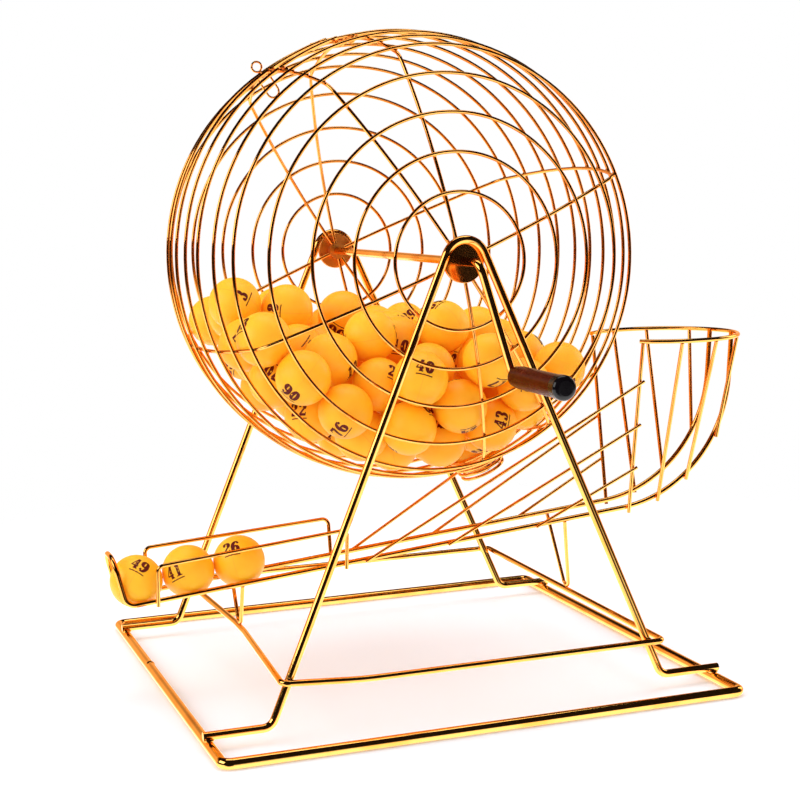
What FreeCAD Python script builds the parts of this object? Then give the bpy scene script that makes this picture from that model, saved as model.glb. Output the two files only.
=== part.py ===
import FreeCAD, Part
import Sketcher
import math
import os

# A wire-cage raffle drum on a wire stand, with a ball chute, a tray and a catch basket.
# The origin is on the floor under the middle of the drum.  The axle runs along Y with the
# crank at -Y; the tray is at -X and the basket at +X.  An angle round the axle is counted
# from +X towards +Z.

Vector = FreeCAD.Vector
Rotation = FreeCAD.Rotation
Placement = FreeCAD.Placement

SIZES = (
    ("weld_gap", 0.05, "gap left at every weld, so that no two wires overlap"),
    ("run_gap", 0.05, "radial running clearance of the axle and of the grip"),
    ("side_gap", 0.3, "clearance between faces that slide past each other"),
    ("butt_gap", 0.1, "gap where the two ends of one bent wire meet"),
    # stand
    ("base_wire", 7.5, "diameter of the base ring's wire"),
    ("base_half_x", 195.0, "base ring, half length along X to the wire's centre"),
    ("base_half_y", 194.0, "base ring, half length along Y to the wire's centre"),
    ("base_bend", 6.0, "bend radius at the corners of the base ring"),
    ("base_seam_y", 52.9, "where the base ring's ends meet on its left bar"),
    ("leg_wire", 6.0, "diameter of the leg frames' wire"),
    ("leg_plane_y", 153.0, "distance of each leg frame from the middle"),
    ("leg_lean", 23.1, "lean of the legs from upright, in degrees"),
    ("leg_overhang", 4.0, "reach of the leg stubs past the centre of the base ring's side bars"),
    ("knee_bend", 9.0, "bend radius at the knees"),
    ("apex_bend", 15.5, "bend radius at the apex, round the axle"),
    ("axle_height", 324.5, "height of the axle above the floor"),
    ("tie_wire", 4.6, "diameter of the tie ring's wire"),
    ("tie_height", 42.0, "height of the tie ring at its middle"),
    ("tie_tilt", 1.45, "tilt of the tie ring, higher at the rear, in degrees"),
    ("tie_side_gap", 0.6, "gap between the legs and the tie ring's side bars"),
    ("tie_spread", 5.0, "extra reach of the tie ring's front right corner"),
    ("tie_lift", 4.0, "extra height of the tie ring's front left corner"),
    ("tie_dip_x", -85.0, "where the front bar comes down from the lifted corner"),
    ("tie_dip_bend", 300.0, "bend radius where the front bar comes down"),
    ("tie_waist", 9.6, "how far the tie ring's left bar is bowed in"),
    ("tie_waist_half", 14.0, "half length of the bowed stretch of the left bar"),
    ("tie_bend", 5.0, "bend radius at the corners of the tie ring"),
    ("tie_waist_bend", 60.0, "bend radius of the bowed left bar"),
    ("tie_seam_y", -9.0, "where the tie ring's ends meet on its left bar"),
    ("disc_radius", 15.0, "radius of the bearing discs"),
    ("disc_thick", 2.4, "thickness of the bearing discs"),
    ("disc_bevel", 0.4, "bevel on the rims of the bearing discs"),
    # chute, tray and basket
    ("rail_wire", 4.0, "diameter of the chute rails"),
    ("rail_half_gap", 17.5, "distance of each rail from the middle plane"),
    ("rail_height", 92.5, "height of the rails under the axle"),
    ("rail_slope", 5.37, "fall of the rails towards the tray, in degrees"),
    ("rail_rise", 86.0, "slope of the rails' rise into the basket, in degrees"),
    ("rail_sweep", 112.0, "bend radius where the rails rise into the basket"),
    ("tray_end_x", -222.8, "where the rails turn up at the tray's end"),
    ("tray_end_lean", 13.5, "outward lean of the tray's end loop, in degrees"),
    ("tray_end_rise", 36.6, "height of the tray's end loop above the rails' corner"),
    ("tray_end_bend", 8.0, "bend radius where the rails turn up"),
    ("tray_top_bend", 12.0, "bend radius at the top of the tray's end loop"),
    ("guard_wire", 3.0, "diameter of the tray guards"),
    ("guard_setback", 22.8, "distance of each tray guard's first leg from the tray's end"),
    ("guard_high_x", -51.5, "leg of each tray guard near the drum"),
    ("guard_rise", 28.0, "height of the tray guards above the rails"),
    ("rear_guard_lift", 4.0, "extra height of the rear guard at the tray's end"),
    ("guard_flare", 8.1, "outward lean of the tray guards, in degrees"),
    ("guard_bend", 5.0, "bend radius of the tray guards"),
    ("guard_tail", 3.5, "length of the guards' legs below the rails"),
    ("support_wire", 3.0, "diameter of the rail supports"),
    ("support_foot", 4.0, "half length of the supports' feet on the tie ring"),
    ("tray_support_x", -134.0, "where the tray's support meets the rails"),
    ("basket_support_x", 137.0, "where the basket's support meets the rails"),
    ("support_bend", 5.0, "bend radius of the rail supports"),
    ("rim_wire", 3.5, "diameter of the basket rim"),
    ("rim_radius", 62.0, "radius of the basket rim"),
    ("rim_centre_x", 237.0, "centre of the basket rim"),
    ("rim_height", 250.0, "height of the basket rim"),
    ("rim_half_turn", 135.0, "half of the arc that the basket rim covers, in degrees"),
    ("rim_overhang", 2.4, "reach of the rim's ends past the first basket ribs, in degrees"),
    ("rail_tip", 1.2, "height of the rails' tips above the basket rim"),
    ("basket_wire", 3.0, "diameter of the basket ribs"),
    ("basket_tail", 4.5, "length of the basket ribs below the rails"),
    ("basket_turn_2", 103.5, "place of the second basket rib round the rim, in degrees"),
    ("basket_turn_3", 74.1, "place of the third basket rib round the rim, in degrees"),
    ("basket_turn_4", 39.3, "place of the fourth basket rib round the rim, in degrees"),
    ("basket_foot_1", 89.3, "foot of the first basket rib, back from the rails' corner"),
    ("basket_foot_2", 62.3, "foot of the second basket rib, back from the rails' corner"),
    ("basket_foot_3", 35.3, "foot of the third basket rib, back from the rails' corner"),
    ("basket_foot_4", 6.8, "foot of the fourth basket rib, back from the rails' corner"),
    ("trough_wire", 2.5, "diameter of the trough wires"),
    ("trough_tail", 3.0, "length of the trough wires past their welds"),
    ("trough_low_1", -33.0, "where the upper trough wire meets the rails"),
    ("trough_low_2", 36.5, "where the middle trough wire meets the rails"),
    ("trough_low_3", 113.0, "where the lower trough wire meets the rails"),
    ("trough_drop_1", 34.0, "end of the upper trough wire under the basket rim"),
    ("trough_drop_2", 70.0, "end of the middle trough wire under the basket rim"),
    ("trough_drop_3", 106.0, "end of the lower trough wire under the basket rim"),
    # drum
    ("axle_wire", 6.0, "diameter of the crank rod"),
    ("axle_overhang", 5.0, "reach of the axle's rear end past the middle of the leg frame's wire"),
    ("arm_offset", 25.0, "distance of the crank arm's plane from the middle of the leg frame's wire"),
    ("arm_angle", -73.4, "angle of the crank arm round the axle, in degrees"),
    ("arm_radius", 82.0, "distance of the grip's pin from the axle"),
    ("arm_bend", 8.0, "bend radius between the axle and the crank arm"),
    ("pin_bend", 6.0, "bend radius between the crank arm and the grip's pin"),
    ("collar_radius", 7.0, "radius of the hub collars"),
    ("collar_length", 5.2, "length of the hub collars"),
    ("cage_wire", 2.6, "diameter of the cage's ribs and rings"),
    ("cage_crown", 168.4, "radius of the ribs' centre line at the middle of the barrel"),
    ("barrel_arc", 306.0, "radius of the ribs' curve along the barrel"),
    ("dish_arc", 327.0, "radius of the ribs' curve across the dished faces"),
    ("rib_seat", 3.05, "distance of the dished faces' tips from the hub collars' outer faces"),
    ("knuckle_bend", 14.0, "bend radius between the barrel and the faces"),
    ("barrel_pitch", 25.8, "spacing of the barrel rings along the axle"),
    ("face_ring_first", 48.6, "radius of the smallest ring on each face"),
    ("face_ring_step", 27.8, "step in radius from one face ring to the next"),
    ("door_angle", 112.5, "middle of the door round the axle, in degrees"),
    ("door_half", 11.0, "half of the angle between the ribs beside the door, in degrees"),
    ("coil_wire", 2.6, "diameter of the outlet coil's wire"),
    ("coil_pitch", 4.2, "pitch of the outlet coil"),
    ("coil_length", 23.5, "length of the outlet coil, out from the ribs"),
    ("coil_tip_radius", 16.8, "radius of the coil's centre line at its narrow end"),
    # door and latch
    ("door_wire", 2.6, "diameter of the door's wire"),
    ("door_tip_y", 30.2, "tips of the door's side wires"),
    ("door_side_gap", 0.6, "gap between the door's latch side wire and the rib beside it"),
    ("door_split", 0.35, "distance of the door bars' ends and the cut rings' ends from the rib's centre"),
    ("door_arm_length", 24.0, "length of the hinge arms from the hinge's axis"),
    ("door_hinge_offset", 17.6, "distance of the hinge side wire from the hinge's axis"),
    ("eye_wire", 2.0, "diameter of the hinge arms and their eyes"),
    ("eye_gap", 0.45, "clearance of the hinge eyes round the rib"),
    ("latch_wire", 1.6, "diameter of the latch's wire"),
    ("latch_gap", 1.1, "clearance inside the latch's long loop"),
    ("latch_y", 32.2, "where the latch hangs on its rib, clear of the door's tips"),
    ("latch_depth", 18.2, "reach of the latch inside the rib's centre line"),
    ("latch_shoulder", 0.6, "where the long loop's sides turn in, outside the rib's centre line"),
    ("latch_cross", 4.4, "where the latch's wires cross, outside the rib's centre line"),
    ("latch_bend", 2.0, "bend radius at the latch's shoulders and where its wires cross"),
    ("latch_finger", 3.9, "radius of the latch's finger loop"),
    ("latch_lock_travel", 3.1, "slide of the latch back over the door's tips"),
    ("latch_free_travel", 10.0, "slide of the latch away from the door"),
    # grip
    ("grip_offset", 6.5, "distance of the grip's rear end from the crank arm's plane"),
    ("grip_collar_radius", 7.25, "radius of the grip's collar"),
    ("grip_collar_length", 7.5, "length of the grip's collar"),
    ("grip_radius", 8.0, "radius of the grip's body"),
    ("grip_length", 61.0, "length of the grip's body"),
    ("grip_socket_radius", 6.0, "radius of the socket in the grip's front end"),
    ("grip_socket_depth", 6.0, "depth of the socket in the grip's front end"),
    ("grip_round", 1.0, "rounding on the grip's collar and body"),
    ("cap_radius", 8.5, "radius of the end cap"),
    ("cap_length", 10.0, "length of the end cap"),
    ("cap_round", 3.5, "rounding on the end cap's face"),
    ("cap_spigot", 1.5, "length of the end cap's spigot"),
    ("pin_end_gap", 1.0, "clearance between the pin's end and the spigot"),
    ("retainer_radius", 5.0, "radius of the push nut on the pin"),
    ("retainer_thick", 1.2, "thickness of the push nut"),
    # balls
    ("ball_radius", 20.0, "radius of a ball"),
    ("ball_wall", 1.0, "wall of a ball"),
    ("ball_gap", 0.3, "clearance kept round a ball"),
    ("heap_lean", 8.0, "lean of the heap of balls towards the tray, in degrees"),
)

doc = FreeCAD.newDocument("RaffleDrum")
sheet = doc.addObject("Spreadsheet::Sheet", "Sizes")


def put_cell(row, alias, content, note):
    """One row of the sheet: what the size is, its value or formula, and its alias."""
    sheet.set(f"A{row}", note)
    sheet.set(f"B{row}", content)
    sheet.setAlias(f"B{row}", alias)


for row, (alias, value, note) in enumerate(SIZES, start=1):
    put_cell(row, alias, str(value), note)

# Sizes that follow from the driving ones.
FORMULAS = (
    ("leg_foot_x", "=base_half_x + leg_overhang", "reach of the leg stubs along X"),
    ("guard_low_x", "=tray_end_x + guard_setback", "leg of each tray guard near the tray's end"),
    ("basket_turn_1", "=rim_half_turn - rim_overhang",
     "place of the first basket rib round the rim, in degrees"),
    ("axle_radius", "=axle_wire / 2", "radius of the crank rod"),
    ("running_bore", "=axle_radius + run_gap", "radius of the bores that turn on the crank rod"),
    ("fixed_bore", "=axle_radius + weld_gap", "radius of the bores fixed to the crank rod"),
    ("axle_rear_y", "=leg_plane_y + axle_overhang", "rear end of the axle"),
    ("arm_plane_y", "=-leg_plane_y - arm_offset", "plane of the crank arm"),
    ("disc_face_y", "=leg_plane_y - leg_wire / 2 - weld_gap", "outer face of each bearing disc"),
    ("collar_face_y", "=disc_face_y - disc_thick - side_gap", "outer face of each hub collar"),
    ("dish_apex_y", "=collar_face_y - rib_seat", "distance of the dished faces' tips from the middle"),
    ("weld_reach", "=cage_wire + weld_gap", "distance between the centres of a rib and its ring"),
    ("barrel_centre", "=cage_crown - barrel_arc", "radius of the barrel curve's centre"),
    ("dish_centre", "=dish_apex_y - dish_arc", "distance of the dish curve's centre along Y"),
    ("coil_radius", "=barrel_pitch - cage_wire / 2 - coil_wire / 2 - side_gap",
     "radius of the coil's centre line where it passes the rings beside it"),
    ("grip_rear_y", "=arm_plane_y - grip_offset", "rear end of the grip"),
    ("grip_body_rear", "=grip_rear_y - grip_collar_length", "rear end of the grip's body"),
    ("grip_body_front", "=grip_body_rear - grip_length", "front end of the grip's body"),
    ("spigot_radius", "=grip_socket_radius - weld_gap", "radius of the end cap's spigot"),
    ("cap_back", "=cap_length + cap_spigot", "length of the end cap with its spigot"),
    ("retainer_front", "=grip_body_front + grip_socket_depth - side_gap - retainer_thick",
     "front face of the push nut"),
    ("pin_end_y", "=grip_body_front + cap_spigot + pin_end_gap", "end of the grip's pin"),
    ("pin_x", "=arm_radius * cos(arm_angle)", "place of the grip's pin along X"),
    ("pin_z", "=axle_height + arm_radius * sin(arm_angle)", "height of the grip's pin"),
)
for row, (alias, formula, note) in enumerate(FORMULAS, start=len(SIZES) + 1):
    put_cell(row, alias, formula, note)
doc.recompute()


def size(alias):
    """The value of one of the sheet's cells."""
    return float(getattr(sheet, alias))


AXLE_CENTRE = Vector(0, 0, size("axle_height"))
SUB_PARTS = []


def keep(piece, label):
    """Marks a document object as a sub-part, under its own label."""
    piece.Label = label
    SUB_PARTS.append(piece)
    return piece


# ---------------------------------------------------------------- wires

def swept(edges, radius):
    """A round wire along tangent edges; its volume is compared with section times length."""
    path = Part.Wire(edges)
    start = path.OrderedEdges[0]
    if path.OrderedVertexes[0].Point.isEqual(start.valueAt(start.FirstParameter), 1e-6):
        tangent = start.tangentAt(start.FirstParameter)
    else:
        tangent = -start.tangentAt(start.LastParameter)
    section = Part.Wire(Part.makeCircle(radius, path.OrderedVertexes[0].Point, tangent))
    solid = path.makePipeShell([section], True, False)
    expected = math.pi * radius ** 2 * path.Length
    if abs(solid.Volume - expected) > 0.005 * expected:
        raise ValueError(f"swept wire has volume {solid.Volume:.1f}, not {expected:.1f}")
    return solid


def bent_wire(points, bends, wire):
    """A wire through the points, with one tangent arc of the given radius at each inner one."""
    edges = []
    start = points[0]
    for before, corner, after, bend in zip(points, points[1:], points[2:], bends):
        come = (corner - before).normalize()
        leave = (after - corner).normalize()
        turn = come.getAngle(leave)
        tangent_length = bend * math.tan(turn / 2)
        arc_start = corner - come * tangent_length
        arc_end = corner + leave * tangent_length
        inward = (leave - come).normalize()
        arc_middle = corner + inward * bend * (1 / math.cos(turn / 2) - 1)
        if (arc_start - start).Length > 1e-6:
            edges.append(Part.LineSegment(start, arc_start).toShape())
        edges.append(Part.Arc(arc_start, arc_middle, arc_end).toShape())
        start = arc_end
    if (points[-1] - start).Length > 1e-6:
        edges.append(Part.LineSegment(start, points[-1]).toShape())
    return swept(edges, wire / 2)


def straight_wire(start, end, wire):
    """A straight round wire between two points."""
    run = end - start
    return Part.makeCylinder(wire / 2, run.Length, start, run)


def wire_part(label, shapes, placement=None):
    """A sub-part made of bent wires: one solid, or a group of solids in one node."""
    piece = doc.addObject("Part::Feature", label)
    piece.Shape = shapes[0] if len(shapes) == 1 else Part.makeCompound(shapes)
    if placement is not None:
        piece.Placement = placement
    return keep(piece, label)


def touch_offset(first, second, reach):
    """How far apart along Y two crossing wires pass, so that their centres are reach apart."""
    normal = first.cross(second).normalize()
    return reach / abs(normal.y)


def butt_end(start, centre, run, wire, other_wire):
    """End of a wire from start that butts into another wire at centre, which runs along run."""
    come = (start - centre).normalize()
    tilt = abs(come.dot(run))
    upright = math.sqrt(1 - tilt ** 2)
    stop = (other_wire / 2 + size("weld_gap") + wire / 2 * tilt) / upright
    return centre + come * stop


def mirrored(shape):
    """The same shape on the other side of the middle plane."""
    return shape.mirror(Vector(0, 0, 0), Vector(0, 1, 0))


# ---------------------------------------------------------------- stand

def base_ring():
    """A heavy wire rectangle on the floor, whose ends meet on its left bar."""
    half_x, half_y, height = size("base_half_x"), size("base_half_y"), size("base_wire") / 2
    half_seam = size("butt_gap") / 2
    points = [
        Vector(-half_x, size("base_seam_y") + half_seam, height),
        Vector(-half_x, half_y, height),
        Vector(half_x, half_y, height),
        Vector(half_x, -half_y, height),
        Vector(-half_x, -half_y, height),
        Vector(-half_x, size("base_seam_y") - half_seam, height),
    ]
    wire_part("base_ring", [bent_wire(points, [size("base_bend")] * 4, size("base_wire"))])


def tie_point(x, y):
    """A point of the tie ring's tilted plane."""
    return Vector(x, y, size("tie_height") + y * math.tan(math.radians(size("tie_tilt"))))


def leg_reach(height):
    """Distance of the legs' centre lines from the middle, at a height above the floor."""
    lean = math.radians(size("leg_lean"))
    drop = size("axle_height") - height
    return (size("apex_bend") + drop * math.sin(lean)) / math.cos(lean)


def tie_corner(side_x, side_y, spread=0.0, lift=0.0):
    """A corner of the tie ring, outside the leg that it is welded to."""
    plane = size("leg_plane_y")
    touch = (size("leg_wire") + size("tie_wire")) / 2
    clear = touch / math.cos(math.radians(size("leg_lean"))) + size("tie_side_gap")
    reach = leg_reach(tie_point(0, side_y * plane).z + lift) + clear + spread
    corner = tie_point(side_x * reach, side_y * (plane + touch + size("weld_gap")))
    return corner + Vector(0, 0, lift)


TIE_CORNERS = (
    tie_corner(-1, 1),
    tie_corner(1, 1),
    tie_corner(1, -1, spread=size("tie_spread")),
    tie_corner(-1, -1, lift=size("tie_lift")),
)
TIE_RIGHT = (TIE_CORNERS[1].x + TIE_CORNERS[2].x) / 2
TIE_BOWED = (TIE_CORNERS[3].x + TIE_CORNERS[0].x) / 2 + size("tie_waist")


def tie_ring():
    """A lighter wire ring round the outside of the legs, with its left bar bowed in."""
    rear_left, rear_right, front_right, front_left = TIE_CORNERS
    half_seam = size("butt_gap") / 2
    points = [
        tie_point(TIE_BOWED, size("tie_seam_y") + half_seam),
        tie_point(TIE_BOWED, size("tie_waist_half")),
        rear_left,
        rear_right,
        front_right,
        tie_point(size("tie_dip_x"), front_right.y),
        front_left,
        tie_point(TIE_BOWED, -size("tie_waist_half")),
        tie_point(TIE_BOWED, size("tie_seam_y") - half_seam),
    ]
    waist_bend, corner_bend = size("tie_waist_bend"), size("tie_bend")
    bends = [waist_bend] + [corner_bend] * 3 + [size("tie_dip_bend"), corner_bend, waist_bend]
    wire_part("tie_ring", [bent_wire(points, bends, size("tie_wire"))])


def leg_frame(label, plane_y):
    """One wire: stub, knee, leg, apex round the axle, leg, knee, stub."""
    foot = size("base_wire") + size("leg_wire") / 2 + size("weld_gap")
    knee_x = leg_reach(foot)
    apex = size("axle_height") + size("apex_bend") / math.sin(math.radians(size("leg_lean")))
    points = [
        Vector(-size("leg_foot_x"), plane_y, foot),
        Vector(-knee_x, plane_y, foot),
        Vector(0, plane_y, apex),
        Vector(knee_x, plane_y, foot),
        Vector(size("leg_foot_x"), plane_y, foot),
    ]
    bends = [size("knee_bend"), size("apex_bend"), size("knee_bend")]
    wire_part(label, [bent_wire(points, bends, size("leg_wire"))])


def origin_plane(body, role):
    """One of a body's own origin planes."""
    return next(feature for feature in body.Origin.OriginFeatures if feature.Role == role)


def round_plate(label, outer, bore, thickness, front_y, centre_x="0", centre_z="Sizes.axle_height"):
    """A bored round plate across Y, padded from its rear face towards its front face."""
    body = doc.addObject("PartDesign::Body", label)
    sketch = body.newObject("Sketcher::SketchObject", label + "_outline")
    sketch.AttachmentSupport = (origin_plane(body, "XZ_Plane"), [""])
    sketch.MapMode = "FlatFace"
    for index, radius in enumerate((outer, bore)):
        sketch.addGeometry(Part.Circle(Vector(0, 0, 0), Vector(0, 0, 1), 10.0 - 5.0 * index))
        sketch.addConstraint(Sketcher.Constraint("Coincident", index, 3, -1, 1))
        number = sketch.addConstraint(Sketcher.Constraint("Radius", index, 10.0 - 5.0 * index))
        sketch.setExpression(f"Constraints[{number}]", radius)
    pad = body.newObject("PartDesign::Pad", label + "_pad")
    pad.Profile = sketch
    pad.setExpression("Length", thickness)
    body.setExpression("Placement.Base.x", centre_x)
    body.setExpression("Placement.Base.y", f"{front_y} + {thickness}")
    body.setExpression("Placement.Base.z", centre_z)
    doc.recompute()
    return keep(body, label)


def rim_edges(feature, radius):
    """Names of the circular edges with a given radius on a feature's shape."""
    names = []
    for index, edge in enumerate(feature.Shape.Edges, start=1):
        if isinstance(edge.Curve, Part.Circle) and abs(edge.Curve.Radius - radius) < 1e-6:
            names.append(f"Edge{index}")
    return names


def bearing_disc(label, front_y):
    """A polished plate, welded inside the leg frame's apex, that carries the axle."""
    body = round_plate(label, "Sizes.disc_radius", "Sizes.running_bore", "Sizes.disc_thick", front_y)
    pad = body.Tip
    bevel = body.newObject("PartDesign::Chamfer", label + "_bevel")
    bevel.Base = (pad, rim_edges(pad, size("disc_radius")))
    bevel.setExpression("Size", "Sizes.disc_bevel")


base_ring()
tie_ring()
leg_frame("front_leg_frame", -size("leg_plane_y"))
leg_frame("rear_leg_frame", size("leg_plane_y"))
bearing_disc("front_bearing_disc", "-Sizes.disc_face_y")
bearing_disc("rear_bearing_disc", "Sizes.disc_face_y - Sizes.disc_thick")

# ---------------------------------------------------------------- chute, tray and basket

slope = math.radians(size("rail_slope"))
rise = math.radians(size("rail_rise"))
RAIL_RUN = Vector(math.cos(slope), 0, math.sin(slope))
RAIL_RISE = Vector(math.cos(rise), 0, math.sin(rise))
RIM_CENTRE = Vector(size("rim_centre_x"), 0, size("rim_height"))


def rail_z(x):
    """Height of the rails' centre line on its straight run."""
    return size("rail_height") + x * math.tan(slope)


def rail_corner():
    """Where the straight run and the rise into the basket would meet."""
    inner = size("rim_radius") - size("rim_wire") / 2 - size("rail_wire") / 2 - size("weld_gap")
    weld_x = size("rim_centre_x") + math.sqrt(inner ** 2 - size("rail_half_gap") ** 2)
    fall = math.tan(rise)
    corner_x = (size("rail_height") - size("rim_height") + weld_x * fall) / (fall - math.tan(slope))
    return Vector(corner_x, 0, rail_z(corner_x))


RAIL_CORNER = rail_corner()
SWEEP_START = RAIL_CORNER - RAIL_RUN * (size("rail_sweep") * math.tan((rise - slope) / 2))
SWEEP_CENTRE = SWEEP_START + Vector(-math.sin(slope), 0, math.cos(slope)) * size("rail_sweep")


def rail_point(x):
    """Point of the rails' centre line, without its Y, and the rail's direction there."""
    if x <= SWEEP_START.x:
        return Vector(x, 0, rail_z(x)), RAIL_RUN
    across = x - SWEEP_CENTRE.x
    down = math.sqrt(size("rail_sweep") ** 2 - across ** 2)
    run = Vector(down, 0, across).normalize()
    return Vector(x, 0, SWEEP_CENTRE.z - down), run


def chute_rails():
    """One wire: rim, rise, rail, end loop, rail, rise, rim."""
    half = size("rail_half_gap")
    lean = math.radians(size("tray_end_lean"))
    corner, _ = rail_point(size("tray_end_x"))
    top = corner + Vector(-math.tan(lean), 0, 1) * size("tray_end_rise")
    tip_rise = (size("rim_height") + size("rail_tip") - RAIL_CORNER.z) / RAIL_RISE.z
    tip = RAIL_CORNER + RAIL_RISE * tip_rise
    side = [tip, RAIL_CORNER, corner, top]
    points = [point + Vector(0, -half, 0) for point in side]
    points += [point + Vector(0, half, 0) for point in reversed(side)]
    bends = [size("rail_sweep"), size("tray_end_bend"), size("tray_top_bend")]
    wire_part("chute_rails", [bent_wire(points, bends + bends[::-1], size("rail_wire"))])


def tray_guard(low_lift):
    """An inverted U, welded to the outer side of the rear rail and leaning out."""
    flare = math.radians(size("guard_flare"))
    leg = Vector(0, math.sin(flare), math.cos(flare))
    reach = size("rail_wire") / 2 + size("guard_wire") / 2 + size("weld_gap")
    weld_y = size("rail_half_gap") + touch_offset(RAIL_RUN, leg, reach)
    points = []
    for x, lift, order in ((size("guard_low_x"), low_lift, 1), (size("guard_high_x"), 0.0, -1)):
        weld = Vector(x, weld_y, rail_z(x))
        tail = weld - leg * size("guard_tail")
        top = weld + leg * ((size("guard_rise") + lift) / leg.z)
        points += [tail, top][::order]
    return bent_wire(points, [size("guard_bend")] * 2, size("guard_wire"))


def rail_support(label, foot_x, top_x):
    """A V wire from the tie ring's side bar up to the undersides of both rails."""
    rest = (size("tie_wire") + size("support_wire")) / 2 + size("weld_gap")
    rail, run = rail_point(top_x)
    arms = []
    for side in (-1, 1):
        foot = tie_point(foot_x, side * size("support_foot")) + Vector(0, 0, rest)
        weld = rail + Vector(0, side * size("rail_half_gap"), 0)
        arms.append((foot, butt_end(foot, weld, run, size("support_wire"), size("rail_wire"))))
    points = [arms[0][1], arms[0][0], arms[1][0], arms[1][1]]
    bends = [size("support_bend")] * 2
    wire_part(label, [bent_wire(points, bends, size("support_wire"))])


def basket_rib_line(number):
    """Top of a rear basket rib on the rim's centre line, and its lower weld."""
    turn = math.radians(size(f"basket_turn_{number}"))
    top = RIM_CENTRE + Vector(math.cos(turn), math.sin(turn), 0) * size("rim_radius")
    rail, run = rail_point(RAIL_CORNER.x - size(f"basket_foot_{number}"))
    reach = size("rail_wire") / 2 + size("basket_wire") / 2 + size("weld_gap")
    weld = rail + Vector(0, size("rail_half_gap") + reach, 0)
    for _ in range(4):
        offset = touch_offset(run, (top - weld).normalize(), reach)
        weld = rail + Vector(0, size("rail_half_gap") + offset, 0)
    return top, weld


def basket_rib(number):
    """A straight wire from under the rim to the outer side of the rear rail."""
    top, weld = basket_rib_line(number)
    outward = (top - RIM_CENTRE).normalize()
    rim_run = Vector(-outward.y, outward.x, 0)
    tip = butt_end(weld, top, rim_run, size("basket_wire"), size("rim_wire"))
    tail = weld + (weld - top).normalize() * size("basket_tail")
    return straight_wire(tail, tip, size("basket_wire"))


def trough_wire(number):
    """A straight wire from the rear rail's outer side to the outer side of the first rib."""
    top, foot = basket_rib_line(1)
    rib_run = (top - foot).normalize()
    rib_point = top - rib_run * (size(f"trough_drop_{number}") / rib_run.z)
    rail, run = rail_point(size(f"trough_low_{number}"))
    rail = rail + Vector(0, size("rail_half_gap"), 0)
    rail_reach = (size("rail_wire") + size("trough_wire")) / 2 + size("weld_gap")
    rib_reach = (size("basket_wire") + size("trough_wire")) / 2 + size("weld_gap")
    low = rail + Vector(0, rail_reach, 0)
    high = rib_point + Vector(0, rib_reach, 0)
    for _ in range(4):
        along = (high - low).normalize()
        low = rail + Vector(0, touch_offset(run, along, rail_reach), 0)
        high = rib_point + Vector(0, touch_offset(rib_run, along, rib_reach), 0)
    along = (high - low).normalize()
    tail = along * size("trough_tail")
    return straight_wire(low - tail, high + tail, size("trough_wire"))


def basket_rim():
    """An open circle, with its gap towards the drum."""
    half_turn = math.radians(size("rim_half_turn"))
    points = []
    for turn in (-half_turn, 0, half_turn):
        points.append(RIM_CENTRE + Vector(math.cos(turn), math.sin(turn), 0) * size("rim_radius"))
    wire_part("basket_rim", [swept([Part.Arc(*points).toShape()], size("rim_wire") / 2)])


chute_rails()
wire_part("front_tray_guard", [mirrored(tray_guard(0.0))])
wire_part("rear_tray_guard", [tray_guard(size("rear_guard_lift"))])
rail_support("tray_rail_support", TIE_BOWED, size("tray_support_x"))
rail_support("basket_rail_support", TIE_RIGHT, size("basket_support_x"))
rear_trough = [trough_wire(number) for number in (1, 2, 3)]
wire_part("front_trough_wires", [mirrored(wire) for wire in rear_trough])
wire_part("rear_trough_wires", rear_trough)
basket_rim()
rear_ribs = [basket_rib(number) for number in (1, 2, 3, 4)]
wire_part("front_basket_ribs", [mirrored(rib) for rib in rear_ribs])
wire_part("rear_basket_ribs", rear_ribs)

# ---------------------------------------------------------------- crank rod and hubs

def crank_rod():
    """Axle, crank arm and grip pin: one rod with two bends."""
    pin = Vector(size("pin_x"), size("arm_plane_y"), size("pin_z"))
    points = [
        AXLE_CENTRE + Vector(0, size("axle_rear_y"), 0),
        AXLE_CENTRE + Vector(0, size("arm_plane_y"), 0),
        pin,
        Vector(pin.x, size("pin_end_y"), pin.z),
    ]
    bends = [size("arm_bend"), size("pin_bend")]
    wire_part("crank_rod", [bent_wire(points, bends, size("axle_wire"))])


crank_rod()
round_plate("front_hub_collar", "Sizes.collar_radius", "Sizes.fixed_bore", "Sizes.collar_length",
            "-Sizes.collar_face_y")
round_plate("rear_hub_collar", "Sizes.collar_radius", "Sizes.fixed_bore", "Sizes.collar_length",
            "Sizes.collar_face_y - Sizes.collar_length")

# ---------------------------------------------------------------- cage

BARREL_CENTRE = Vector(size("barrel_centre"), 0, 0)
DISH_CENTRE = Vector(0, size("dish_centre"), 0)
DOOR_RIB_HINGE = size("door_angle") - size("door_half")
DOOR_RIB_LATCH = size("door_angle") + size("door_half")
RIBS = (
    ("cage_rib_right", size("door_angle") - 90),
    ("cage_rib_door_hinge", DOOR_RIB_HINGE),
    ("cage_rib_door_latch", DOOR_RIB_LATCH),
    ("cage_rib_left", size("door_angle") + 90),
    ("cage_rib_outlet_left", DOOR_RIB_HINGE + 180),
    ("cage_rib_outlet_right", DOOR_RIB_LATCH + 180),
)


def drum_placement(angle):
    """Turns a shape drawn in the X-Y plane, with X as radius, round the axle."""
    return Placement(AXLE_CENTRE, Rotation(Vector(0, 1, 0), -angle))


def barrel_radius(y, lift=0.0):
    """Radius of the ribs' centre line at y on the barrel, or of a line lifted off it."""
    return size("barrel_centre") + math.sqrt((size("barrel_arc") + lift) ** 2 - y ** 2)


def arc_point(centre, radius, direction):
    """A point of a circle in the given direction from its centre."""
    return centre + Vector(direction.x, direction.y, 0).normalize() * radius


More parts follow.
